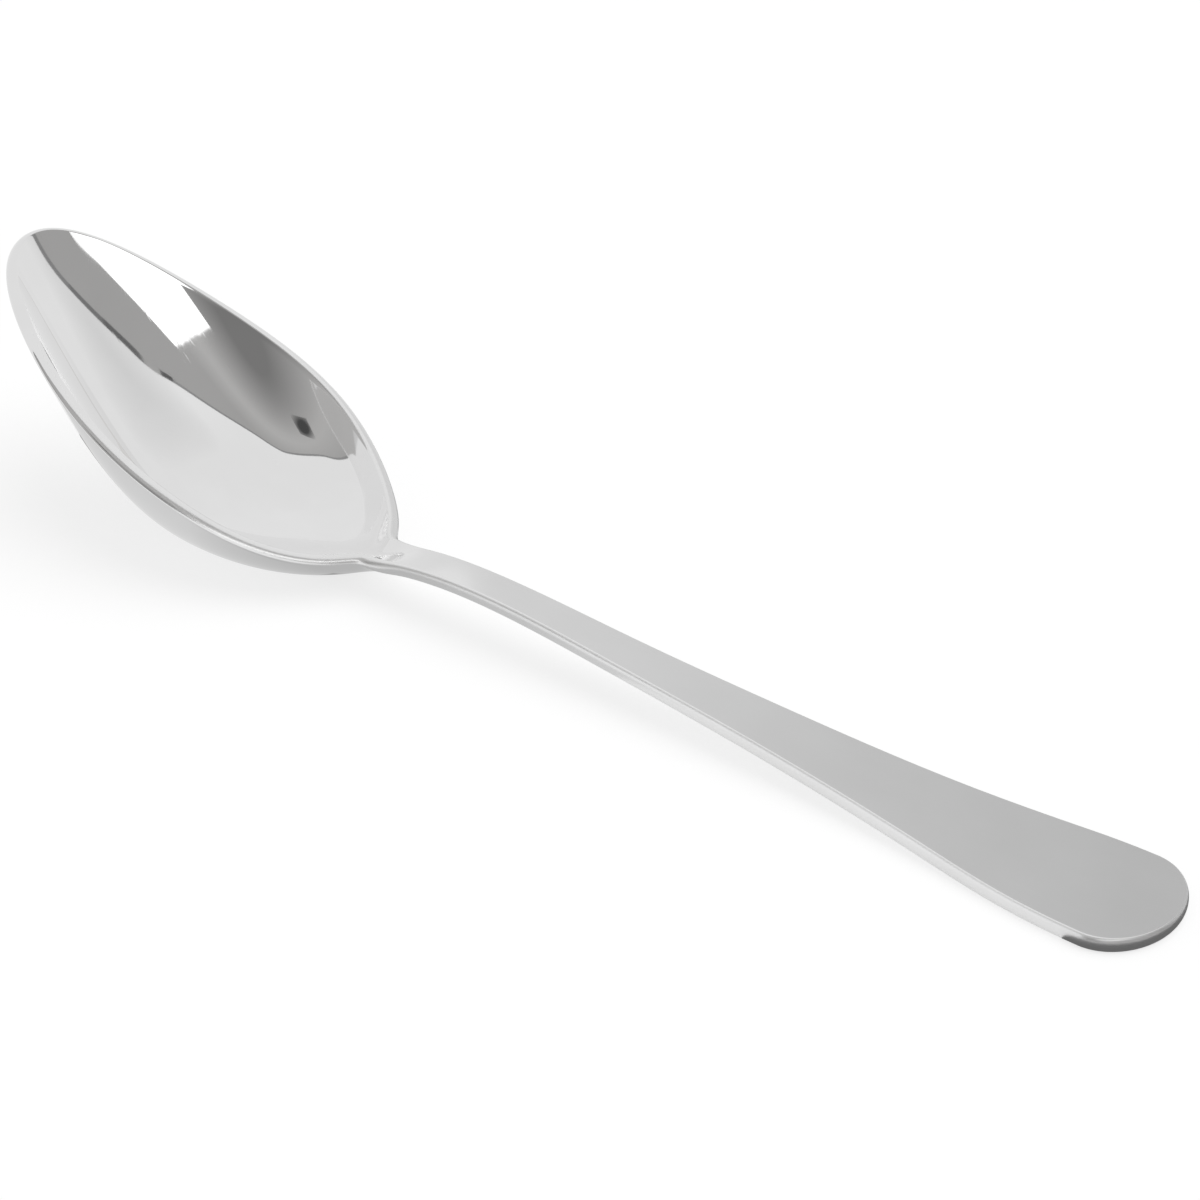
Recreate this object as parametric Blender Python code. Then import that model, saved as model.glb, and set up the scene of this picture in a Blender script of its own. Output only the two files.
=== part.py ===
import bpy
import numpy as np

MM = 0.001

# Plan view along the top edge line, in millimetres
LENGTH = 140.0
BOWL_LENGTH = 47.4
BOWL_WIDTH = 29.0
NECK_WIDTH = 4.9
SLIM_WIDTH = 5.6
MID_HANDLE_WIDTH = 7.7
FLARE_WIDTH = 12.2
END_WIDTH = 16.3
END_ROUND_LENGTH = 6.0
NECK_FILLET = 4.8

# Egg shape of the bowl's outline: weights of the place along the bowl, its square and its cube
BOWL_EGG = 0.14
BOWL_EGG_SQUARE = -0.122
BOWL_EGG_CUBE = -0.142

# Rise of the top edge line above the heel, where the bowl meets the neck
TIP_RISE = 20.4
RIM_FRONT_RISE = 12.0
RIM_BACK_RISE = 4.8
NECK_RISE = 0.7
CREST_RISE = 1.2

# Height of the handle's top face above the table
SLIM_HEIGHT = 4.9
MID_HANDLE_HEIGHT = 3.5
FLARE_HEIGHT = 1.95
END_FLAT_LENGTH = 13.0

# Places along the bowl and along the handle where the widths and heights above are given
RIM_FRONT_PART = 0.35
RIM_BACK_PART = 0.7
NECK_PART = 0.06
CREST_PART = 0.17
SLIM_PART = 0.32
MID_HANDLE_PART = 0.52
FLARE_PART = 0.74
END_PART = 0.9

# Hollow of the bowl below its rim, and how far past the heel it fades out
BOWL_DEPTH = 9.1
DEEPEST_FROM_TIP = 25.4
HEEL_FADE = 5.7

# Fullness of the hollow: the share of its depth at places along the bowl, and the swell of its sides
HOLLOW_PARTS = (0.1, 0.25, 0.72, 0.9)
HOLLOW_SHARES = (0.28, 0.63, 0.81, 0.39)
SIDE_FULLNESS = 1.0
SIDE_SQUARENESS = 0.2

# Metal thickness and the round on every edge
BOWL_THICKNESS = 1.4
NECK_THICKNESS = 1.35
END_THICKNESS = 1.5
EDGE_ROUND = 0.4

# Rows and columns of the mesh, with one column on the centre line
ROUND_ROWS = 10
BOWL_ROWS = 17
NECK_ROWS = 12
HANDLE_ROWS = 23
HALF_COLUMNS = 7
EDGE_STEPS = 6
TIP_ZONE_PART = 0.2
NECK_ZONE_IN_BOWL = 4.0
NECK_ZONE_IN_HANDLE = 8.0

# Steps with which curves are searched and their slopes taken
CURVE_SAMPLES = 400
SETTLE_STEPS = 5
SLOPE_STEP = 1e-4

STEEL_COLOUR = (0.63, 0.63, 0.62, 1.0)
STEEL_ROUGHNESS = 0.18


def spline(stations, values, level_end):
    """A cubic curve through the points, free at its start and either free or level at its end."""
    x = np.asarray(stations, float)
    y = np.asarray(values, float)
    count = len(x)
    h = np.diff(x)
    slope = np.diff(y) / h
    matrix = np.zeros((count, count))
    right = np.zeros(count)
    matrix[0, 0] = 1.0
    for i in range(1, count - 1):
        matrix[i, i - 1] = h[i - 1]
        matrix[i, i] = 2.0 * (h[i - 1] + h[i])
        matrix[i, i + 1] = h[i]
        right[i] = 6.0 * (slope[i] - slope[i - 1])
    matrix[-1, -1] = 1.0
    if level_end:
        matrix[-1, -2] = h[-1]
        matrix[-1, -1] = 2.0 * h[-1]
        right[-1] = -6.0 * slope[-1]
    bend = np.linalg.solve(matrix, right)

    def value(at):
        at = np.clip(np.asarray(at, float), x[0], x[-1])
        i = np.clip(np.searchsorted(x, at) - 1, 0, count - 2)
        before = at - x[i]
        after = x[i + 1] - at
        curved = (bend[i] * after**3 + bend[i + 1] * before**3) / (6.0 * h[i])
        first = (y[i] / h[i] - bend[i] * h[i] / 6.0) * after
        second = (y[i + 1] / h[i] - bend[i + 1] * h[i] / 6.0) * before
        return curved + first + second

    return value


def along_handle(part):
    return BOWL_LENGTH + part * (LENGTH - BOWL_LENGTH)


handle_half_width = spline(
    [along_handle(part) for part in (NECK_PART, CREST_PART, SLIM_PART)]
    + [along_handle(part) for part in (MID_HANDLE_PART, FLARE_PART, END_PART, 1.0)],
    [0.5 * width for width in (NECK_WIDTH, NECK_WIDTH, SLIM_WIDTH)]
    + [0.5 * width for width in (MID_HANDLE_WIDTH, FLARE_WIDTH, END_WIDTH, END_WIDTH)],
    False,
)

thickness = spline(
    [0.0, DEEPEST_FROM_TIP, along_handle(CREST_PART), LENGTH - END_FLAT_LENGTH],
    [BOWL_THICKNESS, BOWL_THICKNESS, NECK_THICKNESS, END_THICKNESS],
    True,
)

hollow_curve = spline(
    [EDGE_ROUND]
    + [part * BOWL_LENGTH for part in HOLLOW_PARTS[:2]]
    + [DEEPEST_FROM_TIP]
    + [part * BOWL_LENGTH for part in HOLLOW_PARTS[2:]]
    + [BOWL_LENGTH + HEEL_FADE],
    [0.0]
    + [share * BOWL_DEPTH for share in HOLLOW_SHARES[:2]]
    + [BOWL_DEPTH]
    + [share * BOWL_DEPTH for share in HOLLOW_SHARES[2:]]
    + [0.0],
    True,
)


def edge_line(heel_height):
    """The top edge line's height above the table, from the tip to the flat end of the handle."""
    bowl_parts = (0.0, RIM_FRONT_PART, RIM_BACK_PART, 1.0)
    handle_parts = (NECK_PART, CREST_PART, SLIM_PART, MID_HANDLE_PART, FLARE_PART)
    rises = (TIP_RISE, RIM_FRONT_RISE, RIM_BACK_RISE, 0.0, NECK_RISE, CREST_RISE)
    return spline(
        [part * BOWL_LENGTH for part in bowl_parts]
        + [along_handle(part) for part in handle_parts]
        + [LENGTH - END_FLAT_LENGTH],
        [heel_height + rise for rise in rises]
        + [SLIM_HEIGHT, MID_HANDLE_HEIGHT, FLARE_HEIGHT, END_THICKNESS],
        True,
    )


def lowest_underside(heel_height):
    """Height of the bowl's underside at its lowest point."""
    u = np.linspace(EDGE_ROUND, BOWL_LENGTH, CURVE_SAMPLES)
    middle = edge_line(heel_height)(u) - hollow_curve(u)
    slope = np.gradient(middle, u)
    return (middle - thickness(u) * np.sqrt(1.0 + slope**2)).min()


def resting_heel_height():
    """The heel height at which the bowl touches the table while the handle's end lies flat on it."""
    height = 0.0
    for _ in range(SETTLE_STEPS):
        height -= lowest_underside(height)
    return height


edge_height = edge_line(resting_heel_height())


def swell(x):
    return 1.0 + BOWL_EGG * x + BOWL_EGG_SQUARE * x**2 + BOWL_EGG_CUBE * x**3


def bowl_square(u):
    """Square of the bowl's half width, below zero past the bowl's two ends."""
    place = np.linspace(-1.0, 1.0, CURVE_SAMPLES)
    widest = (np.sqrt(1.0 - place**2) * swell(place)).max()
    x = 2.0 * u / BOWL_LENGTH - 1.0
    scale = 0.5 * BOWL_WIDTH * swell(np.clip(x, -1.0, 1.0)) / widest
    return (1.0 - x**2) * scale**2


def half_width(u):
    """Half of the outline's width at each distance from the tip, with a fillet where bowl and neck meet."""
    u = np.asarray(u, float)
    bowl = bowl_square(u)
    handle = handle_half_width(u) ** 2
    near = np.clip(1.0 - np.abs(bowl - handle) / NECK_FILLET**2, 0.0, 1.0)
    joined = np.maximum(bowl, handle) + NECK_FILLET**2 * near**3 / 6.0
    past = np.clip((u - LENGTH + END_ROUND_LENGTH) / END_ROUND_LENGTH, 0.0, 1.0)
    square = np.where(u < 0.5 * BOWL_LENGTH, bowl, joined * (1.0 - past**2))
    return np.sqrt(np.maximum(square, 0.0))


def outline_stations():
    """Distances from the tip, closer together at both rounded ends and around the neck."""
    quarter = np.linspace(0.0, 0.5 * np.pi, ROUND_ROWS + 1)
    tip_zone = TIP_ZONE_PART * BOWL_LENGTH
    neck_start = BOWL_LENGTH - NECK_ZONE_IN_BOWL
    neck_end = BOWL_LENGTH + NECK_ZONE_IN_HANDLE
    end_start = LENGTH - END_ROUND_LENGTH
    tip = tip_zone * (1.0 - np.cos(quarter))
    bowl = np.linspace(tip_zone, neck_start, BOWL_ROWS + 1)
    neck = np.linspace(neck_start, neck_end, NECK_ROWS + 1)
    handle = np.linspace(neck_end, end_start, HANDLE_ROWS + 1)
    end = end_start + END_ROUND_LENGTH * np.sin(quarter)
    return np.concatenate([tip, bowl[1:], neck[1:], handle[1:], end[1:]])


def unit(vectors):
    return vectors / np.linalg.norm(vectors, axis=-1, keepdims=True)


def inset_outline():
    """The outline moved inward by the edge round: distance from the tip and half width of every row."""
    u = outline_stations()
    ahead = half_width(u + SLOPE_STEP)
    behind = half_width(np.maximum(u - SLOPE_STEP, 0.0))
    rise = (ahead - behind) / (2.0 * SLOPE_STEP)
    outward = unit(np.stack([-rise, np.ones_like(rise)], axis=1))
    outward[0] = (-1.0, 0.0)
    outward[-1] = (1.0, 0.0)
    inset = np.stack([u, half_width(u)], axis=1) - EDGE_ROUND * outward
    inset[[0, -1], 1] = 0.0
    return inset


def top_height(u, y, edge):
    """Height of the top face at distance y from the centre line, in a row that ends at distance edge."""
    across = np.divide(y, edge, out=np.zeros_like(y), where=edge > 0.0)
    out = (2.0 * y / BOWL_WIDTH) ** 2
    section = (1.0 - across**2) * (1.0 + SIDE_FULLNESS * out + SIDE_SQUARENESS * out**2)
    return edge_height(u) - hollow_curve(u) * section


def sheet():
    """Grids of the top face, of the bottom face and of the top face's normals."""
    rows = inset_outline()
    even = np.linspace(-1.0, 1.0, 2 * HALF_COLUMNS + 1)
    across = 0.5 * (even + np.sin(0.5 * np.pi * even))
    u, across = np.meshgrid(rows[:, 0], across, indexing="ij")
    edge = np.broadcast_to(rows[:, 1:2], u.shape)
    y = edge * across
    top = np.stack([u, y, top_height(u, y, edge)], axis=2)
    along = np.gradient(top, axis=0)
    along[0] = along[0, HALF_COLUMNS]
    along[-1] = along[-1, HALF_COLUMNS]
    sideways = np.gradient(top, axis=1)
    sideways[[0, -1]] = (0.0, 1.0, 0.0)
    normal = unit(np.cross(along, sideways))
    bottom = top - normal * thickness(u)[:, :, None]
    return top, bottom, normal


def edge_profile(high, low, out):
    """Points of a half-round edge between the top edge and the bottom edge."""
    turn = np.linspace(0.0, np.pi, EDGE_STEPS + 1)[1:-1]
    middle = 0.5 * (high + low)
    half = 0.5 * (high - low)
    return [middle + half * np.cos(a) + out * EDGE_ROUND * np.sin(a) for a in turn]


def spoon_mesh():
    """Points and faces of the spoon, with the tip toward +X and the middle of its base at the origin."""
    top, bottom, normal = sheet()
    count, columns = top.shape[:2]
    last = columns - 1
    points = []
    faces = []

    def add(point):
        points.append(point)
        return len(points) - 1

    def grid(surface):
        index = [[add(surface[0, HALF_COLUMNS])] * columns]
        for row in range(1, count - 1):
            index.append([add(surface[row, column]) for column in range(columns)])
        index.append([add(surface[-1, HALF_COLUMNS])] * columns)
        return index

    def face(*corners):
        ring = list(dict.fromkeys(corners))
        if len(ring) > 2:
            faces.append(ring)

    high = grid(top)
    low = grid(bottom)
    for row in range(count - 1):
        for column in range(last):
            face(high[row][column], high[row][column + 1], high[row + 1][column + 1], high[row + 1][column])
            face(low[row][column], low[row + 1][column], low[row + 1][column + 1], low[row][column + 1])

    rim = [(row, last) for row in range(count)] + [(row, 0) for row in range(count - 2, 0, -1)]
    strips = []
    for i, (row, column) in enumerate(rim):
        along = top[rim[(i + 1) % len(rim)]] - top[rim[i - 1]]
        out = unit(np.cross(normal[row, column], along))
        profile = edge_profile(top[row, column], bottom[row, column], out)
        strips.append([high[row][column]] + [add(point) for point in profile] + [low[row][column]])
    for i, strip in enumerate(strips):
        after = strips[(i + 1) % len(strips)]
        for k in range(EDGE_STEPS):
            face(strip[k], strip[k + 1], after[k + 1], after[k])

    points = np.array(points) * (-1.0, 1.0, 1.0)
    lowest = points.min(axis=0)
    highest = points.max(axis=0)
    middle = 0.5 * (lowest + highest)
    return (points - (middle[0], middle[1], lowest[2])) * MM, faces


def steel():
    material = bpy.data.materials.new("polished_steel")
    material.use_nodes = True
    shader = material.node_tree.nodes["Principled BSDF"]
    shader.inputs["Base Color"].default_value = STEEL_COLOUR
    shader.inputs["Metallic"].default_value = 1.0
    shader.inputs["Roughness"].default_value = STEEL_ROUGHNESS
    return material


def build():
    for old in list(bpy.data.objects):
        bpy.data.objects.remove(old, do_unlink=True)
    points, faces = spoon_mesh()
    mesh = bpy.data.meshes.new("spoon")
    mesh.from_pydata(points.tolist(), [], faces)
    mesh.update()
    mesh.materials.append(steel())
    mesh.shade_smooth()
    spoon = bpy.data.objects.new("spoon", mesh)
    bpy.context.scene.collection.objects.link(spoon)


build()
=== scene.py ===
import math

import bpy
import numpy as np
from mathutils import Matrix, Vector


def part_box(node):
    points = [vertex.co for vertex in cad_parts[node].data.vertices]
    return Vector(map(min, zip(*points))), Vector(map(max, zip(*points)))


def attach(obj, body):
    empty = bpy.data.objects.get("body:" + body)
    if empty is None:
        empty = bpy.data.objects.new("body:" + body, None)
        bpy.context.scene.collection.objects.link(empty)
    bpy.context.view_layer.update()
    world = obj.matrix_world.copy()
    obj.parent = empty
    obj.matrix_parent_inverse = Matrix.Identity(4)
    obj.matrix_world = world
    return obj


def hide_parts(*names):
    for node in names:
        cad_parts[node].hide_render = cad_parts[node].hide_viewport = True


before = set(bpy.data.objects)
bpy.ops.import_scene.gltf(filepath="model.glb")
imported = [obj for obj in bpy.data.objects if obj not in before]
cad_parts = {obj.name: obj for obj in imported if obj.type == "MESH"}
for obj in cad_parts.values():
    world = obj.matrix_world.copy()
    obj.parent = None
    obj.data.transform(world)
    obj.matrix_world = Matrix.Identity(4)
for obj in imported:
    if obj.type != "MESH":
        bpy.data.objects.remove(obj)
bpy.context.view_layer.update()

MM = 0.001
# Distances from the tip run against +X
FROM_TIP_TO_X = (-1.0, 1.0, 1.0)

# Plan view along the top edge line; lengths are in millimetres
LENGTH = 140.0
BOWL_LENGTH = 47.4
BOWL_WIDTH = 29.0
NECK_WIDTH = 4.9
SLIM_WIDTH = 5.6
MID_HANDLE_WIDTH = 7.7
FLARE_WIDTH = 12.2
END_WIDTH = 16.3
END_ROUND_LENGTH = 6.0
NECK_FILLET = 4.8

# Egg shape of the bowl's outline: weights of the place along the bowl, its square and its cube
BOWL_EGG = 0.14
BOWL_EGG_SQUARE = -0.122
BOWL_EGG_CUBE = -0.142

# Rise of the top edge line above the heel, where the bowl meets the neck
TIP_RISE = 20.4
RIM_FRONT_RISE = 12.0
RIM_BACK_RISE = 4.8
NECK_RISE = 0.7
CREST_RISE = 1.2

# Height of the handle's top face above the table
SLIM_HEIGHT = 4.9
MID_HANDLE_HEIGHT = 3.5
FLARE_HEIGHT = 1.95
END_FLAT_LENGTH = 13.0

# Places along the bowl and along the handle where the widths and heights above are given
RIM_FRONT_PART = 0.35
RIM_BACK_PART = 0.7
NECK_PART = 0.06
CREST_PART = 0.17
SLIM_PART = 0.32
MID_HANDLE_PART = 0.52
FLARE_PART = 0.74
END_PART = 0.9

# Hollow of the bowl below its rim, and how far past the heel it fades out
BOWL_DEPTH = 9.1
DEEPEST_FROM_TIP = 25.4
HEEL_FADE = 5.7
HOLLOW_PARTS = (0.1, 0.25, 0.72, 0.9)
HOLLOW_SHARES = (0.28, 0.63, 0.81, 0.39)
SIDE_FULLNESS = 1.0
SIDE_SQUARENESS = 0.2

# Metal thickness and the round on every edge
BOWL_THICKNESS = 1.4
NECK_THICKNESS = 1.35
END_THICKNESS = 1.5
EDGE_ROUND = 0.4

# Rows and columns of the fine mesh
ROUND_ROWS = 36
BOWL_ROWS = 110
NECK_ROWS = 48
HANDLE_ROWS = 90
HALF_COLUMNS = 40
EDGE_STEPS = 20
TIP_ZONE_PART = 0.2
NECK_ZONE_IN_BOWL = 4.0
NECK_ZONE_IN_HANDLE = 8.0

# Samples of a curve, steps that settle the resting height, and the step that measures a slope
CURVE_SAMPLES = 400
SETTLE_STEPS = 5
SLOPE_STEP = 1e-4

# Camera: its place, the point of the table it looks at, its roll and its lens
CAMERA_PLACE = (-155.87, 238.88, 174.67)
CAMERA_TARGET = (2.79, -13.34, 0.0)
CAMERA_ROLL = 5.07
CAMERA_LENS = 99.63
SENSOR_WIDTH = 36.0
CLIP_START = 10.0

# Steel: reflectance of its clean and its cloudy areas, its roughness and the height of its polish lines
STEEL_CLEAN = (0.745, 0.745, 0.746, 1.0)
STEEL_CLOUDY = (0.715, 0.714, 0.714, 1.0)
BOWL_ROUGHNESS = 0.03
HANDLE_ROUGHNESS = 0.1
SATIN_FROM = 32.0
SATIN_TO = 8.0
CLOUD_ROUGHNESS = 0.02
LINE_ROUGHNESS = 0.05
SCRATCH_ROUGHNESS = 0.08
RIM_ROUGHNESS = 0.2
RIM_BRIGHT_FROM = 58.0
RIM_DULL_FROM = 38.0
POLISH_HEIGHT = 0.0012
# Noise over the steel, per metre along each axis, and the turns of two sets of scratches in degrees
CLOUD_GRAIN = (70.0, 90.0, 90.0)
LINE_GRAIN = (45.0, 2400.0, 2400.0)
HAIR_GRAIN = (60.0, 3200.0, 400.0)
HAIR_TURNS = (24.0, -31.0)
# Noise levels between which clouds and scratches come in
CLOUD_RANGE = (0.35, 0.65)
SCRATCH_RANGE = (0.72, 0.8)

# Studio: directions are degrees round from +Y toward +X and degrees above the table
DOME_RADIUS = 1.0
LATER_LEVEL = 1.15
WHITE = (1.0, 1.0, 1.0, 1.0)
# Cards in front of the opening or behind it: how far toward the bowl, as a share of the dome's radius
HEM_NEARNESS = 0.015
SCREEN_NEARNESS = 0.02
WINDOW_NEARNESS = 0.03
VEIL_NEARNESS = 0.05
FLARE_NEARNESS = 0.06
FLARE_STEP = 0.01
HAZE_NEARNESS = -0.05
# Points along and across the cards
EDGE_POINTS = 160
HEM_POINTS = 80
WINDOW_POINTS = 60
SCREEN_POINTS = 20
WALL_POINTS = 48
DISC_POINTS = 49
CARD_POINTS = 9
STRIP_POINTS = 4
WALL_LEVELS = 5
# Grey front opening: its upper edge, its lower limit, and its levels by the distance from its darkest place
OPENING_EDGE = (
    (-150.2, 31.0), (-145.3, 37.0), (-141.5, 43.0), (-131.0, 51.0), (-119.0, 58.0), (-83.0, 71.0),
    (-40.0, 76.0), (16.0, 73.0), (35.0, 57.0), (44.0, 38.0), (53.0, 22.0), (56.0, 8.0),
)
OPENING_LOW = -1.0
OPENING_MIDDLE = (-40.0, 20.0)
OPENING_DARKEST = (-10.0, 18.0)
OPENING_RISE = ((0.15, 0.24), (0.7, 0.59))
OPENING_FALL = ((0.62, 0.0), (0.95, -0.13))
OPENING_TINT = (1.0, 0.99, 0.98, 1.0)
# Round areas of the studio: direction, reach in degrees and level
HAZE = ((-150.0, 42.0), 17.0, 0.82)
VEIL = ((-150.0, 75.0), 18.0, 0.76)
FLARES = (((64.0, 55.0), 32.0, 1.28), ((112.0, 72.0), 15.5, 1.28))
# Painted reflection inside the bowl's tip, a pale glowing sheet just off the metal that the tip reflects:
# its limits along and across, its distance from the metal and its level
PAINTED_REFLECTION_ALONG = (2.6, 18.6)
PAINTED_REFLECTION_ACROSS = (-0.97, 0.46)
PAINTED_REFLECTION_LIFT = 0.06
PAINTED_REFLECTION_LEVEL = 0.93
# Hems along the opening's edge: from and to azimuths, width and level
HEMS = (
    (-150.2, -145.0, 2.4, 0.28), (-145.0, -141.0, 2.5, 0.22), (-141.0, -137.5, 2.7, 0.16),
    (-133.8, -129.2, 2.5, 0.12), (-129.2, 56.0, 1.6, 0.32),
)
# Window: azimuth, and its low and its high elevation there
WINDOW = (
    (-108.0, 43.0, 45.5), (-98.0, 42.0, 47.2), (-82.0, 40.0, 52.2), (-70.0, 38.0, 50.1),
    (-59.0, 35.0, 46.9), (-50.0, 32.0, 43.2), (-41.0, 29.0, 38.8), (-34.5, 27.5, 34.7),
    (-31.0, 28.2, 32.3), (-28.4, 30.4, 30.5),
)
WINDOW_LEVEL = 1.7
# Dark spot: its direction, half sizes and level, and the distances between which it fades out
SPOT = (21.5, 32.5)
SPOT_HALF = (11.5, 6.5)
SPOT_LEVEL = 0.08
SPOT_SOFT = (0.06, 0.15)
SPOT_CORNERS = 4
# Dark screen low on the left
SCREEN_AZIMUTH = (-152.0, -118.0)
SCREEN_ELEVATION = (-1.0, 29.0)
SCREEN_LEVEL = 0.14
# Graded screen close behind the handle: its place, the outline of its top, and its levels along X
SHADE_AT = -40.0
SHADE_TOP = ((-120.0, 48.0), (28.0, 48.0), (42.0, 30.0), (68.0, 30.0))
SHADE_SLOW = ((-50.0, 0.63), (24.0, 0.84))
SHADE_FAST = ((34.0, 0.0), (60.0, 0.14))
# Pale screen close in front of the handle
SIDE_AT = 40.0
SIDE_TOP = ((-60.0, 34.0), (0.0, 34.0), (34.0, 14.0))
SIDE_LEVEL = 1.08
# Painted shadow on the table, seen only in reflections: grey patches with X and Y limits, and levels at the
# X limits
PAINTED_SHADOWS = (
    ((-86.0, -62.8), (-12.0, 18.0), (0.17, 0.17)),
    ((-8.0, 25.0), (-6.0, 30.0), (0.8, 0.6)),
    ((25.0, 40.0), (3.0, 30.0), (0.6, 0.8)),
    ((40.0, 90.0), (3.0, 30.0), (0.8, 0.8)),
    ((25.0, 66.0), (-40.0, 3.0), (0.42, 0.42)),
)
PAINTED_SHADOW_LIFT = 0.02

# Floor, in metres across, and how far it lies below the table plane; then the light
FLOOR_HALF = 3.0
FLOOR_DROP = 0.02
FLOOR_ALBEDO = 0.32
FLOOR_LIFT = 0.71
SKY_LIGHT = 0.55
SUN_LEVEL = 0.42
SUN_ANGLE = 70.0
SUN_TILT = (20.0, -15.0)


def spline(stations, values, level_end):
    """A cubic curve through the points, free at its start and either free or level at its end."""
    x = np.asarray(stations, float)
    y = np.asarray(values, float)
    count = len(x)
    h = np.diff(x)
    slope = np.diff(y) / h
    matrix = np.zeros((count, count))
    right = np.zeros(count)
    matrix[0, 0] = 1.0
    for i in range(1, count - 1):
        matrix[i, i - 1] = h[i - 1]
        matrix[i, i] = 2.0 * (h[i - 1] + h[i])
        matrix[i, i + 1] = h[i]
        right[i] = 6.0 * (slope[i] - slope[i - 1])
    matrix[-1, -1] = 1.0
    if level_end:
        matrix[-1, -2] = h[-1]
        matrix[-1, -1] = 2.0 * h[-1]
        right[-1] = -6.0 * slope[-1]
    bend = np.linalg.solve(matrix, right)

    def value(at):
        at = np.clip(np.asarray(at, float), x[0], x[-1])
        i = np.clip(np.searchsorted(x, at) - 1, 0, count - 2)
        before = at - x[i]
        after = x[i + 1] - at
        curved = (bend[i] * after**3 + bend[i + 1] * before**3) / (6.0 * h[i])
        first = (y[i] / h[i] - bend[i] * h[i] / 6.0) * after
        second = (y[i + 1] / h[i] - bend[i + 1] * h[i] / 6.0) * before
        return curved + first + second

    return value


def along_handle(part):
    return BOWL_LENGTH + part * (LENGTH - BOWL_LENGTH)


handle_half_width = spline(
    [along_handle(part) for part in (NECK_PART, CREST_PART, SLIM_PART)]
    + [along_handle(part) for part in (MID_HANDLE_PART, FLARE_PART, END_PART, 1.0)],
    [0.5 * width for width in (NECK_WIDTH, NECK_WIDTH, SLIM_WIDTH)]
    + [0.5 * width for width in (MID_HANDLE_WIDTH, FLARE_WIDTH, END_WIDTH, END_WIDTH)],
    False,
)

thickness = spline(
    [0.0, DEEPEST_FROM_TIP, along_handle(CREST_PART), LENGTH - END_FLAT_LENGTH],
    [BOWL_THICKNESS, BOWL_THICKNESS, NECK_THICKNESS, END_THICKNESS],
    True,
)

hollow_curve = spline(
    [EDGE_ROUND]
    + [part * BOWL_LENGTH for part in HOLLOW_PARTS[:2]]
    + [DEEPEST_FROM_TIP]
    + [part * BOWL_LENGTH for part in HOLLOW_PARTS[2:]]
    + [BOWL_LENGTH + HEEL_FADE],
    [0.0]
    + [share * BOWL_DEPTH for share in HOLLOW_SHARES[:2]]
    + [BOWL_DEPTH]
    + [share * BOWL_DEPTH for share in HOLLOW_SHARES[2:]]
    + [0.0],
    True,
)


def edge_line(heel_height):
    """The top edge line's height above the table, from the tip to the flat end of the handle."""
    bowl_parts = (0.0, RIM_FRONT_PART, RIM_BACK_PART, 1.0)
    handle_parts = (NECK_PART, CREST_PART, SLIM_PART, MID_HANDLE_PART, FLARE_PART)
    rises = (TIP_RISE, RIM_FRONT_RISE, RIM_BACK_RISE, 0.0, NECK_RISE, CREST_RISE)
    return spline(
        [part * BOWL_LENGTH for part in bowl_parts]
        + [along_handle(part) for part in handle_parts]
        + [LENGTH - END_FLAT_LENGTH],
        [heel_height + rise for rise in rises]
        + [SLIM_HEIGHT, MID_HANDLE_HEIGHT, FLARE_HEIGHT, END_THICKNESS],
        True,
    )


def lowest_underside(heel_height):
    """Height of the bowl's underside at its lowest point."""
    u = np.linspace(EDGE_ROUND, BOWL_LENGTH, CURVE_SAMPLES)
    middle = edge_line(heel_height)(u) - hollow_curve(u)
    slope = np.gradient(middle, u)
    return (middle - thickness(u) * np.sqrt(1.0 + slope**2)).min()


def resting_heel_height():
    """The heel height at which the bowl touches the table while the handle's end lies flat on it."""
    height = 0.0
    for _ in range(SETTLE_STEPS):
        height -= lowest_underside(height)
    return height


edge_height = edge_line(resting_heel_height())


def swell(x):
    return 1.0 + BOWL_EGG * x + BOWL_EGG_SQUARE * x**2 + BOWL_EGG_CUBE * x**3


def bowl_square(u):
    """Square of the bowl's half width, below zero past the bowl's two ends."""
    place = np.linspace(-1.0, 1.0, CURVE_SAMPLES)
    widest = (np.sqrt(1.0 - place**2) * swell(place)).max()
    x = 2.0 * u / BOWL_LENGTH - 1.0
    scale = 0.5 * BOWL_WIDTH * swell(np.clip(x, -1.0, 1.0)) / widest
    return (1.0 - x**2) * scale**2


def half_width(u):
    """Half of the outline's width at each distance from the tip, with a fillet where bowl and neck meet."""
    u = np.asarray(u, float)
    bowl = bowl_square(u)
    handle = handle_half_width(u) ** 2
    near = np.clip(1.0 - np.abs(bowl - handle) / NECK_FILLET**2, 0.0, 1.0)
    joined = np.maximum(bowl, handle) + NECK_FILLET**2 * near**3 / 6.0
    past = np.clip((u - LENGTH + END_ROUND_LENGTH) / END_ROUND_LENGTH, 0.0, 1.0)
    square = np.where(u < 0.5 * BOWL_LENGTH, bowl, joined * (1.0 - past**2))
    return np.sqrt(np.maximum(square, 0.0))


def outline_stations():
    """Distances from the tip, closer together at both rounded ends and around the neck."""
    quarter = np.linspace(0.0, 0.5 * np.pi, ROUND_ROWS + 1)
    tip_zone = TIP_ZONE_PART * BOWL_LENGTH
    neck_start = BOWL_LENGTH - NECK_ZONE_IN_BOWL
    neck_end = BOWL_LENGTH + NECK_ZONE_IN_HANDLE
    end_start = LENGTH - END_ROUND_LENGTH
    tip = tip_zone * (1.0 - np.cos(quarter))
    bowl = np.linspace(tip_zone, neck_start, BOWL_ROWS + 1)
    neck = np.linspace(neck_start, neck_end, NECK_ROWS + 1)
    handle = np.linspace(neck_end, end_start, HANDLE_ROWS + 1)
    end = end_start + END_ROUND_LENGTH * np.sin(quarter)
    return np.concatenate([tip, bowl[1:], neck[1:], handle[1:], end[1:]])


def unit(vectors):
    return vectors / np.linalg.norm(vectors, axis=-1, keepdims=True)


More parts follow.
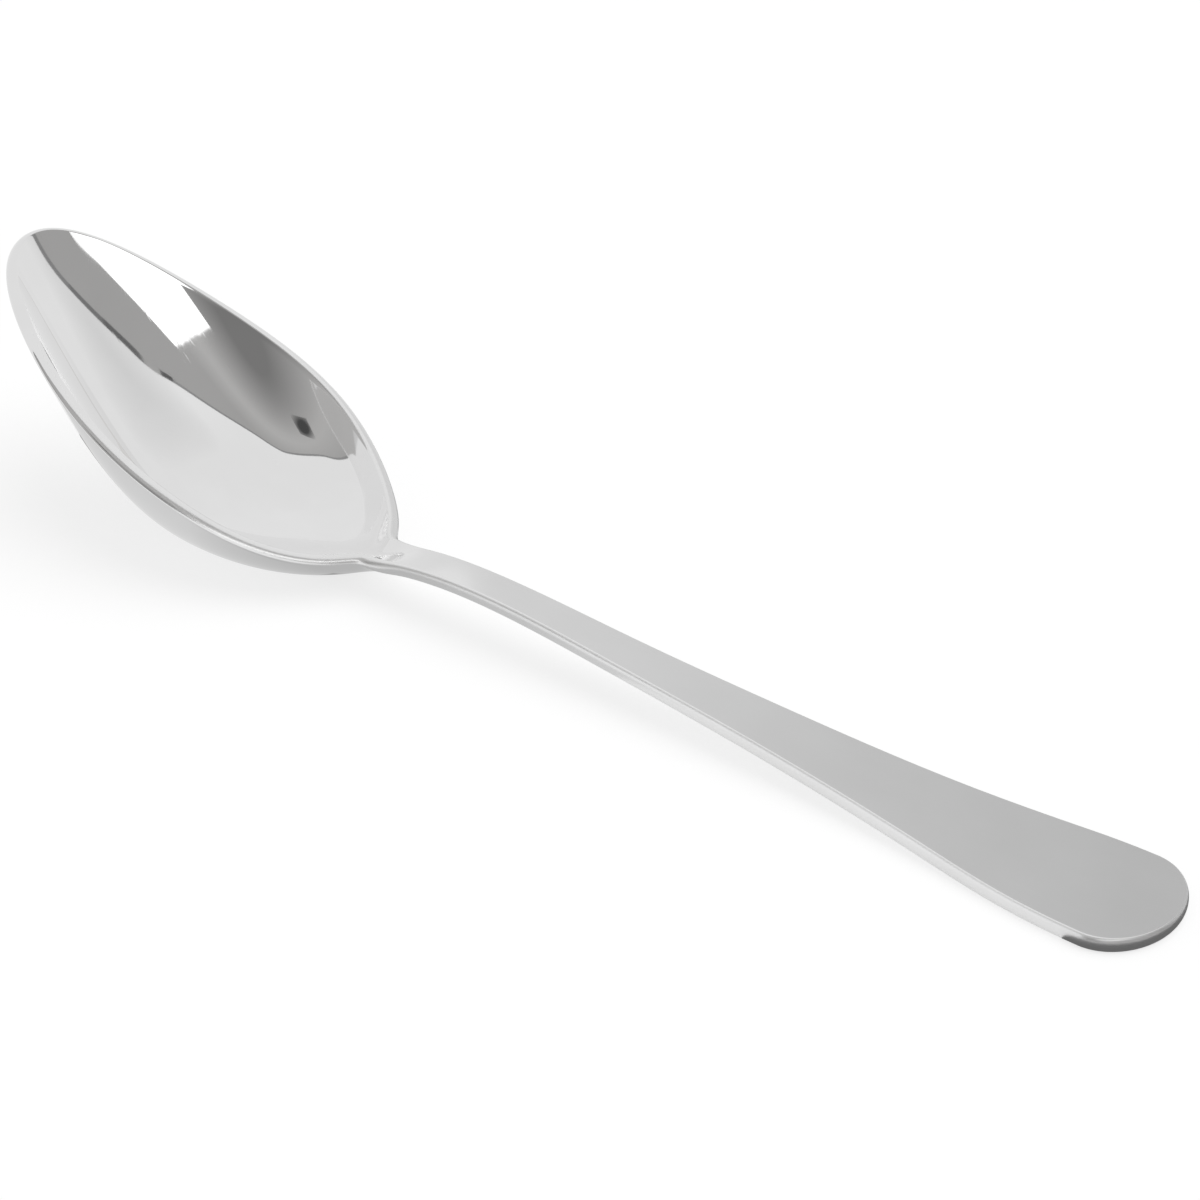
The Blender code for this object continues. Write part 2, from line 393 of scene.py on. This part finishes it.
def inset_outline():
    """The outline moved inward by the edge round: distance from the tip and half width of every row."""
    u = outline_stations()
    ahead = half_width(u + SLOPE_STEP)
    behind = half_width(np.maximum(u - SLOPE_STEP, 0.0))
    rise = (ahead - behind) / (2.0 * SLOPE_STEP)
    outward = unit(np.stack([-rise, np.ones_like(rise)], axis=1))
    outward[0] = (-1.0, 0.0)
    outward[-1] = (1.0, 0.0)
    inset = np.stack([u, half_width(u)], axis=1) - EDGE_ROUND * outward
    inset[[0, -1], 1] = 0.0
    return inset


def top_height(u, y, edge):
    """Height of the top face at distance y from the centre line, in a row that ends at distance edge."""
    across = np.divide(y, edge, out=np.zeros_like(y), where=edge > 0.0)
    out = (2.0 * y / BOWL_WIDTH) ** 2
    section = (1.0 - across**2) * (1.0 + SIDE_FULLNESS * out + SIDE_SQUARENESS * out**2)
    return edge_height(u) - hollow_curve(u) * section


def sheet():
    """Grids of the top face, of the bottom face and of the top face's normals."""
    rows = inset_outline()
    even = np.linspace(-1.0, 1.0, 2 * HALF_COLUMNS + 1)
    across = 0.5 * (even + np.sin(0.5 * np.pi * even))
    u, across = np.meshgrid(rows[:, 0], across, indexing="ij")
    edge = np.broadcast_to(rows[:, 1:2], u.shape)
    y = edge * across
    top = np.stack([u, y, top_height(u, y, edge)], axis=2)
    along = np.gradient(top, axis=0)
    along[0] = along[0, HALF_COLUMNS]
    along[-1] = along[-1, HALF_COLUMNS]
    sideways = np.gradient(top, axis=1)
    sideways[[0, -1]] = (0.0, 1.0, 0.0)
    normal = unit(np.cross(along, sideways))
    bottom = top - normal * thickness(u)[:, :, None]
    return top, bottom, normal


def edge_profile(high, low, out):
    """Points of a half-round edge between the top edge and the bottom edge."""
    turn = np.linspace(0.0, np.pi, EDGE_STEPS + 1)[1:-1]
    middle = 0.5 * (high + low)
    half = 0.5 * (high - low)
    return [middle + half * np.cos(a) + out * EDGE_ROUND * np.sin(a) for a in turn]


def spoon_mesh():
    """Points and faces of the spoon, and how many of the points lie on its two broad faces."""
    top, bottom, normal = sheet()
    count, columns = top.shape[:2]
    last = columns - 1
    points = []
    faces = []

    def add(point):
        points.append(point)
        return len(points) - 1

    def grid(surface):
        index = [[add(surface[0, HALF_COLUMNS])] * columns]
        for row in range(1, count - 1):
            index.append([add(surface[row, column]) for column in range(columns)])
        index.append([add(surface[-1, HALF_COLUMNS])] * columns)
        return index

    def face(*corners):
        ring = list(dict.fromkeys(corners))
        if len(ring) > 2:
            faces.append(ring)

    high = grid(top)
    low = grid(bottom)
    broad = len(points)
    for row in range(count - 1):
        for column in range(last):
            face(high[row][column], high[row][column + 1], high[row + 1][column + 1], high[row + 1][column])
            face(low[row][column], low[row + 1][column], low[row + 1][column + 1], low[row][column + 1])

    rim = [(row, last) for row in range(count)] + [(row, 0) for row in range(count - 2, 0, -1)]
    strips = []
    for i, (row, column) in enumerate(rim):
        along = top[rim[(i + 1) % len(rim)]] - top[rim[i - 1]]
        out = unit(np.cross(normal[row, column], along))
        profile = edge_profile(top[row, column], bottom[row, column], out)
        strips.append([high[row][column]] + [add(point) for point in profile] + [low[row][column]])
    for i, strip in enumerate(strips):
        after = strips[(i + 1) % len(strips)]
        for k in range(EDGE_STEPS):
            face(strip[k], strip[k + 1], after[k + 1], after[k])
    return np.array(points) * FROM_TIP_TO_X, faces, broad


def link(obj):
    bpy.context.scene.collection.objects.link(obj)
    return obj


def node(tree, kind, **values):
    """A new node with the given input values."""
    made = tree.nodes.new(kind)
    for name, value in values.items():
        made.inputs[name.replace("_", " ")].default_value = value
    return made


def math_node(tree, operation, first, second):
    """A math node whose inputs are sockets or numbers."""
    made = tree.nodes.new("ShaderNodeMath")
    made.operation = operation
    for socket, value in zip(made.inputs, (first, second)):
        if isinstance(value, (int, float)):
            socket.default_value = value
        else:
            tree.links.new(value, socket)
    return made.outputs[0]


def seen_directly(tree):
    """One for what the camera, a mirror or a clear thing sees, and zero for light that falls on things."""
    path = tree.nodes.new("ShaderNodeLightPath")
    mirror = math_node(tree, "MAXIMUM", path.outputs["Is Camera Ray"], path.outputs["Is Glossy Ray"])
    return math_node(tree, "MAXIMUM", mirror, path.outputs["Is Transmission Ray"])


def spread(tree, value, low, high):
    """A value remapped between two pairs of a value and its level."""
    grade = tree.nodes.new("ShaderNodeMapRange")
    tree.links.new(value, grade.inputs["Value"])
    grade.inputs["From Min"].default_value, grade.inputs["To Min"].default_value = low
    grade.inputs["From Max"].default_value, grade.inputs["To Max"].default_value = high
    return grade.outputs["Result"]


def ramp(tree, value, start, end):
    """A value remapped to rise from zero to one between two values."""
    return spread(tree, value, (start, 0.0), (end, 1.0))


def grain(tree, place, turn, scale, detail):
    """Noise over the object, turned about the vertical and stretched by a scale per axis."""
    mapping = tree.nodes.new("ShaderNodeMapping")
    tree.links.new(place, mapping.inputs["Vector"])
    mapping.inputs["Rotation"].default_value = (0.0, 0.0, math.radians(turn))
    mapping.inputs["Scale"].default_value = scale
    noise = tree.nodes.new("ShaderNodeTexNoise")
    tree.links.new(mapping.outputs[0], noise.inputs["Vector"])
    noise.inputs["Scale"].default_value = 1.0
    noise.inputs["Detail"].default_value = detail
    return noise.outputs["Fac"]


def steel():
    """Polished steel, mirror bright in the bowl and a little satin on the handle, with some wear."""
    material = bpy.data.materials.new("polished_steel")
    material.use_nodes = True
    tree = material.node_tree
    shader = tree.nodes["Principled BSDF"]
    shader.inputs["Metallic"].default_value = 1.0
    place = tree.nodes.new("ShaderNodeTexCoord").outputs["Object"]
    split = tree.nodes.new("ShaderNodeSeparateXYZ")
    tree.links.new(place, split.inputs[0])
    satin = ramp(tree, split.outputs["X"], SATIN_FROM * MM, SATIN_TO * MM)
    cloud = grain(tree, place, 0.0, CLOUD_GRAIN, 4.0)
    lines = grain(tree, place, 0.0, LINE_GRAIN, 2.0)
    hairs = [grain(tree, place, turn, HAIR_GRAIN, 1.0) for turn in HAIR_TURNS]
    scratch = ramp(tree, math_node(tree, "MAXIMUM", *hairs), *SCRATCH_RANGE)
    rim = tree.nodes.new("ShaderNodeAttribute")
    rim.attribute_name = "rim"

    tint = tree.nodes.new("ShaderNodeMix")
    tint.data_type = "RGBA"
    tree.links.new(ramp(tree, cloud, *CLOUD_RANGE), tint.inputs["Factor"])
    tint.inputs["A"].default_value = STEEL_CLEAN
    tint.inputs["B"].default_value = STEEL_CLOUDY
    tree.links.new(tint.outputs["Result"], shader.inputs["Base Color"])

    rough = spread(tree, satin, (0.0, BOWL_ROUGHNESS), (1.0, HANDLE_ROUGHNESS))
    streaks = math_node(tree, "MULTIPLY", satin, lines)
    for wear, share in (
        (cloud, CLOUD_ROUGHNESS),
        (streaks, LINE_ROUGHNESS),
        (scratch, SCRATCH_ROUGHNESS),
        (rim.outputs["Fac"], RIM_ROUGHNESS),
    ):
        rough = math_node(tree, "ADD", rough, math_node(tree, "MULTIPLY", wear, share))
    tree.links.new(rough, shader.inputs["Roughness"])

    bump = tree.nodes.new("ShaderNodeBump")
    bump.inputs["Distance"].default_value = POLISH_HEIGHT * MM
    tree.links.new(math_node(tree, "SUBTRACT", streaks, scratch), bump.inputs["Height"])
    tree.links.new(bump.outputs["Normal"], shader.inputs["Normal"])
    return material


def make_spoon():
    """The spoon in its place; returns the scale and the shift that put the mesh there."""
    points, faces, broad = spoon_mesh()
    low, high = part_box("spoon")
    scale = np.array([1.0, min(1.0, high[1] / MM / points[:, 1].max()), 1.0])
    shift = np.array([high[0] / MM - points[:, 0].max(), 0.0, low[2] / MM - points[:, 2].min()])
    points = points * scale + shift
    mesh = bpy.data.meshes.new("teaspoon")
    mesh.from_pydata((points * MM).tolist(), [], faces)
    mesh.update()
    mesh.shade_smooth()
    rim = mesh.attributes.new("rim", "FLOAT", "POINT")
    dull = np.clip((RIM_BRIGHT_FROM - points[:, 0]) / (RIM_BRIGHT_FROM - RIM_DULL_FROM), 0.0, 1.0)
    rim.data.foreach_set("value", np.where(np.arange(len(points)) >= broad, dull, 0.0))
    mesh.materials.append(steel())
    spoon = link(bpy.data.objects.new("teaspoon", mesh))
    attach(spoon, "root")
    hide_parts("spoon")
    return scale, shift


def direction(azimuth, elevation):
    """Unit vectors toward places on the studio's dome."""
    a = np.radians(azimuth)
    e = np.radians(elevation)
    return np.stack([np.sin(a) * np.cos(e), np.cos(a) * np.cos(e), np.sin(e)], axis=-1)


def on_dome(directions, nearness):
    """Places on the studio's dome around the bowl, moved toward the bowl by a share of its radius."""
    low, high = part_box("spoon")
    centre = np.array([high[0] - 0.5 * BOWL_LENGTH * MM, 0.0, 0.5 * high[2]])
    return centre + DOME_RADIUS * (1.0 - nearness) * directions


def card(name, points, material):
    """A card from a grid of points, seen only in mirror reflections."""
    rows, columns = points.shape[:2]
    faces = []
    for i in range(rows - 1):
        for j in range(columns - 1):
            first = i * columns + j
            faces.append((first, first + 1, first + columns + 1, first + columns))
    mesh = bpy.data.meshes.new(name)
    mesh.from_pydata(points.reshape(-1, 3).tolist(), [], faces)
    mesh.materials.append(material)
    made = link(bpy.data.objects.new(name, mesh))
    made.visible_camera = False
    made.visible_diffuse = False
    made.visible_transmission = False
    made.visible_shadow = False


def dome_card(name, azimuth, low, high, nearness, material):
    """A card on the dome, between two elevations at each azimuth."""
    share = np.linspace(0.0, 1.0, CARD_POINTS)
    elevation = low[:, None] + (high - low)[:, None] * share
    card(name, on_dome(direction(azimuth[:, None] + 0.0 * elevation, elevation), nearness), material)


def glow(name, first, later=LATER_LEVEL, tint=WHITE):
    """An emitting material with a level for first reflections, or None to let those pass.

    Later reflections see the later level, to the power of the reflections before them.
    """
    material = bpy.data.materials.new(name)
    material.use_nodes = True
    tree = material.node_tree
    tree.nodes.clear()
    path = tree.nodes.new("ShaderNodeLightPath")
    if first is None:
        shown = tree.nodes.new("ShaderNodeBsdfTransparent")
    else:
        shown = node(tree, "ShaderNodeEmission", Color=tint, Strength=first)
    again = node(tree, "ShaderNodeEmission", Color=tint)
    turns = math_node(tree, "SUBTRACT", path.outputs["Glossy Depth"], 1.0)
    tree.links.new(math_node(tree, "POWER", later, turns), again.inputs["Strength"])
    either = tree.nodes.new("ShaderNodeMixShader")
    tree.links.new(math_node(tree, "GREATER_THAN", path.outputs["Glossy Depth"], 1.5), either.inputs[0])
    tree.links.new(shown.outputs[0], either.inputs[1])
    tree.links.new(again.outputs[0], either.inputs[2])
    output = tree.nodes.new("ShaderNodeOutputMaterial")
    tree.links.new(either.outputs[0], output.inputs["Surface"])
    return material


def pierce(tree, clear):
    """Let reflections pass through a card by the given factor."""
    through = tree.nodes.new("ShaderNodeMixShader")
    tree.links.new(clear, through.inputs[0])
    tree.links.new(tree.nodes["Mix Shader"].outputs[0], through.inputs[1])
    tree.links.new(tree.nodes.new("ShaderNodeBsdfTransparent").outputs[0], through.inputs[2])
    tree.links.new(through.outputs[0], tree.nodes["Material Output"].inputs["Surface"])


def position(tree):
    return tree.nodes.new("ShaderNodeNewGeometry").outputs["Position"]


def place_along(tree):
    """The place along the spoon, in metres."""
    split = tree.nodes.new("ShaderNodeSeparateXYZ")
    tree.links.new(position(tree), split.inputs[0])
    return split.outputs["X"]


def apart(tree, centre, nearness):
    """Distance from a place on the dome."""
    between = tree.nodes.new("ShaderNodeVectorMath")
    between.operation = "DISTANCE"
    tree.links.new(position(tree), between.inputs[0])
    between.inputs[1].default_value = on_dome(direction(*centre), nearness).tolist()
    return between.outputs["Value"]


def disc(name, centre, reach, nearness, material):
    """A round card on the dome."""
    turn = np.linspace(0.0, 2.0 * np.pi, DISC_POINTS)
    size = np.linspace(0.0, math.tan(math.radians(reach)), CARD_POINTS)[:, None, None]
    middle = direction(*centre)
    side = unit(np.cross(middle, (0.0, 0.0, 1.0)))
    rise = np.cross(side, middle)
    around = np.cos(turn)[:, None] * side + np.sin(turn)[:, None] * rise
    card(name, on_dome(unit(middle + size * around), nearness), material)


def opening_edge(azimuth):
    return spline([a for a, _ in OPENING_EDGE], [e for _, e in OPENING_EDGE], False)(azimuth)


def make_opening():
    """The grey front opening of the studio, palest a little away from its darkest place."""
    azimuth = np.linspace(OPENING_EDGE[0][0], OPENING_EDGE[-1][0], EDGE_POINTS)
    low = np.full_like(azimuth, OPENING_LOW)
    material = glow("opening", 1.0, tint=OPENING_TINT)
    tree = material.node_tree
    distance = apart(tree, OPENING_DARKEST, 0.0)
    grades = [spread(tree, distance, *grade) for grade in (OPENING_RISE, OPENING_FALL)]
    tree.links.new(math_node(tree, "ADD", *grades), tree.nodes["Emission"].inputs["Strength"])
    dome_card("front_opening", azimuth, low, opening_edge(azimuth), 0.0, material)


def make_haze():
    """A slightly grey area at the back of the studio, fading out all round."""
    centre, reach, level = HAZE
    material = glow("haze", 1.0)
    tree = material.node_tree
    distance = apart(tree, centre, HAZE_NEARNESS)
    grade = spread(tree, distance, (0.0, level), (math.radians(reach), 1.0))
    tree.links.new(grade, tree.nodes["Emission"].inputs["Strength"])
    disc("haze", centre, reach, HAZE_NEARNESS, material)


def make_later_areas():
    """Areas of the studio that only reflections of reflections meet."""
    centre, reach, level = VEIL
    disc("veil", centre, reach, VEIL_NEARNESS, glow("veil", None, level, OPENING_TINT))
    for number, (centre, reach, level) in enumerate(FLARES):
        name = f"flare_{number}"
        disc(name, centre, reach, FLARE_NEARNESS + FLARE_STEP * number, glow(name, None, level))


def make_tip_reflection_sheet(scale, shift):
    """A painted reflection: a pale glowing sheet just off the bowl's tip, which the tip reflects and which
    stops reflections from going round inside the bowl.
    """
    top, _, normal = sheet()
    along = top[:, HALF_COLUMNS, 0]
    rows = np.flatnonzero((PAINTED_REFLECTION_ALONG[0] < along) & (along < PAINTED_REFLECTION_ALONG[1]))
    across = top[rows[0], :, 1] / top[rows[0], -1, 1]
    columns = np.flatnonzero((PAINTED_REFLECTION_ACROSS[0] < across) & (across < PAINTED_REFLECTION_ACROSS[1]))
    lifted = (top + PAINTED_REFLECTION_LIFT * normal)[np.ix_(rows, columns)]
    points = lifted * FROM_TIP_TO_X * scale + shift
    # The sheet's even pale glow is the painted reflection that the bowl's tip shows
    material = glow("painted_tip_reflection", PAINTED_REFLECTION_LEVEL)
    tree = material.node_tree
    pierce(tree, tree.nodes.new("ShaderNodeNewGeometry").outputs["Backfacing"])
    card("painted_tip_reflection", points * MM, material)


def make_hems():
    """Dark hems just inside the opening's edge."""
    middle = direction(*OPENING_MIDDLE)
    for number, (first, last, width, level) in enumerate(HEMS):
        name = f"hem_{number}"
        azimuth = np.linspace(first, last, HEM_POINTS)
        edge = direction(azimuth, opening_edge(azimuth))
        inward = unit(middle - (edge @ middle)[:, None] * edge)
        share = np.linspace(0.0, math.tan(math.radians(width)), STRIP_POINTS)[None, :, None]
        points = unit(edge[:, None] + share * inward[:, None])
        card(name, on_dome(points, HEM_NEARNESS), glow(name, level))


def make_window():
    """The bright window whose reflection lies high in the bowl."""
    azimuth = np.linspace(WINDOW[0][0], WINDOW[-1][0], WINDOW_POINTS)
    places, lows, highs = zip(*WINDOW)
    low = np.interp(azimuth, places, lows)
    high = np.interp(azimuth, places, highs)
    dome_card("window", azimuth, low, high, WINDOW_NEARNESS, glow("window", WINDOW_LEVEL))


def make_spot():
    """A small dark diamond in the opening, soft toward its corners."""
    turn = np.linspace(0.0, 2.0 * np.pi, SPOT_CORNERS + 1)
    share = np.linspace(0.0, 1.0, STRIP_POINTS)[:, None]
    azimuth = SPOT[0] + SPOT_HALF[0] * share * np.cos(turn)
    elevation = SPOT[1] + SPOT_HALF[1] * share * np.sin(turn)
    material = glow("spot", SPOT_LEVEL)
    tree = material.node_tree
    pierce(tree, ramp(tree, apart(tree, SPOT, WINDOW_NEARNESS), *SPOT_SOFT))
    card("spot", on_dome(direction(azimuth, elevation), WINDOW_NEARNESS), material)


def make_screen():
    """A dark screen low on the left, below the opening's edge."""
    azimuth = np.linspace(*SCREEN_AZIMUTH, SCREEN_POINTS)
    low, high = [np.full_like(azimuth, elevation) for elevation in SCREEN_ELEVATION]
    dome_card("screen", azimuth, low, high, SCREEN_NEARNESS, glow("screen", SCREEN_LEVEL))


def wall(name, at, top, material):
    """An upright card along the spoon, at one place across it, with the given outline of its top."""
    places, heights = zip(*top)
    x = np.linspace(places[0], places[-1], WALL_POINTS)[:, None] * np.ones(WALL_LEVELS)
    z = np.interp(x, places, heights) * np.linspace(0.0, 1.0, WALL_LEVELS)
    card(name, np.stack([x, np.full_like(x, at), z], axis=2) * MM, material)


def make_shade():
    """A screen close behind the handle, darker toward the handle's end."""
    material = glow("shade", 1.0)
    tree = material.node_tree
    along = place_along(tree)
    grades = []
    for (near, near_level), (far, far_level) in (SHADE_SLOW, SHADE_FAST):
        grades.append(spread(tree, along, (near * MM, near_level), (far * MM, far_level)))
    tree.links.new(math_node(tree, "ADD", *grades), tree.nodes["Emission"].inputs["Strength"])
    wall("shade", SHADE_AT, SHADE_TOP, material)


def make_side():
    """A pale screen close in front of the handle, lower toward the bowl."""
    wall("side", SIDE_AT, SIDE_TOP, glow("side", SIDE_LEVEL))


def make_painted_shadows():
    """Painted shadow on the table as grey patches, seen only in the metal's reflections, each graded along
    the spoon.
    """
    for number, (along, across, levels) in enumerate(PAINTED_SHADOWS):
        name = f"shadow_patch_{number}"
        x, y = np.meshgrid(along, across, indexing="ij")
        # The patch's level below one is a painted shadow of the table, which only the metal's reflections
        # show
        material = glow(name, 1.0)
        tree = material.node_tree
        ends = [(place * MM, level) for place, level in zip(along, levels)]
        tree.links.new(spread(tree, place_along(tree), *ends), tree.nodes["Emission"].inputs["Strength"])
        card(name, np.stack([x, y, np.full_like(x, PAINTED_SHADOW_LIFT)], axis=2) * MM, material)


def make_floor():
    """A pale floor just below the table plane, lifted to white for the camera and for mirrors."""
    mesh = bpy.data.meshes.new("floor")
    z = -FLOOR_DROP * MM
    corners = [(x * FLOOR_HALF, y * FLOOR_HALF, z) for x, y in ((-1, -1), (1, -1), (1, 1), (-1, 1))]
    mesh.from_pydata(corners, [], [(0, 1, 2, 3)])
    material = bpy.data.materials.new("floor")
    material.use_nodes = True
    tree = material.node_tree
    tree.nodes.clear()
    diffuse = node(tree, "ShaderNodeBsdfDiffuse", Color=(FLOOR_ALBEDO,) * 3 + (1.0,))
    lift = tree.nodes.new("ShaderNodeEmission")
    tree.links.new(math_node(tree, "MULTIPLY", seen_directly(tree), FLOOR_LIFT), lift.inputs["Strength"])
    both = tree.nodes.new("ShaderNodeAddShader")
    tree.links.new(diffuse.outputs[0], both.inputs[0])
    tree.links.new(lift.outputs[0], both.inputs[1])
    output = tree.nodes.new("ShaderNodeOutputMaterial")
    tree.links.new(both.outputs[0], output.inputs["Surface"])
    mesh.materials.append(material)
    link(bpy.data.objects.new("floor", mesh))


def make_light():
    """A white studio, plainer as a light than as a background, and a soft lamp from above."""
    world = bpy.data.worlds.new("studio")
    bpy.context.scene.world = world
    world.use_nodes = True
    tree = world.node_tree
    background = tree.nodes["Background"]
    background.inputs["Color"].default_value = WHITE
    lift = math_node(tree, "MULTIPLY", seen_directly(tree), 1.0 - SKY_LIGHT)
    tree.links.new(math_node(tree, "ADD", lift, SKY_LIGHT), background.inputs["Strength"])

    lamp = bpy.data.lights.new("softbox", "SUN")
    lamp.energy = SUN_LEVEL * math.pi
    lamp.angle = math.radians(SUN_ANGLE)
    sun = link(bpy.data.objects.new("softbox", lamp))
    sun.rotation_euler = [math.radians(angle) for angle in SUN_TILT] + [0.0]
    sun.visible_glossy = False


def make_camera():
    """The camera at the photograph's place."""
    data = bpy.data.cameras.new("camera")
    data.lens = CAMERA_LENS
    data.sensor_width = SENSOR_WIDTH
    data.clip_start = CLIP_START * MM
    camera = link(bpy.data.objects.new("camera", data))
    place = Vector(CAMERA_PLACE) * MM
    gaze = Vector(CAMERA_TARGET) * MM - place
    aim = gaze.to_track_quat("-Z", "Y").to_matrix()
    roll = Matrix.Rotation(math.radians(CAMERA_ROLL), 3, "Z")
    camera.matrix_world = Matrix.Translation(place) @ (aim @ roll).to_4x4()
    bpy.context.scene.camera = camera


make_tip_reflection_sheet(*make_spoon())
make_opening()
make_haze()
make_later_areas()
make_hems()
make_window()
make_spot()
make_screen()
make_shade()
make_side()
make_painted_shadows()
make_floor()
make_light()
make_camera()
bpy.context.scene.view_settings.view_transform = "Standard"
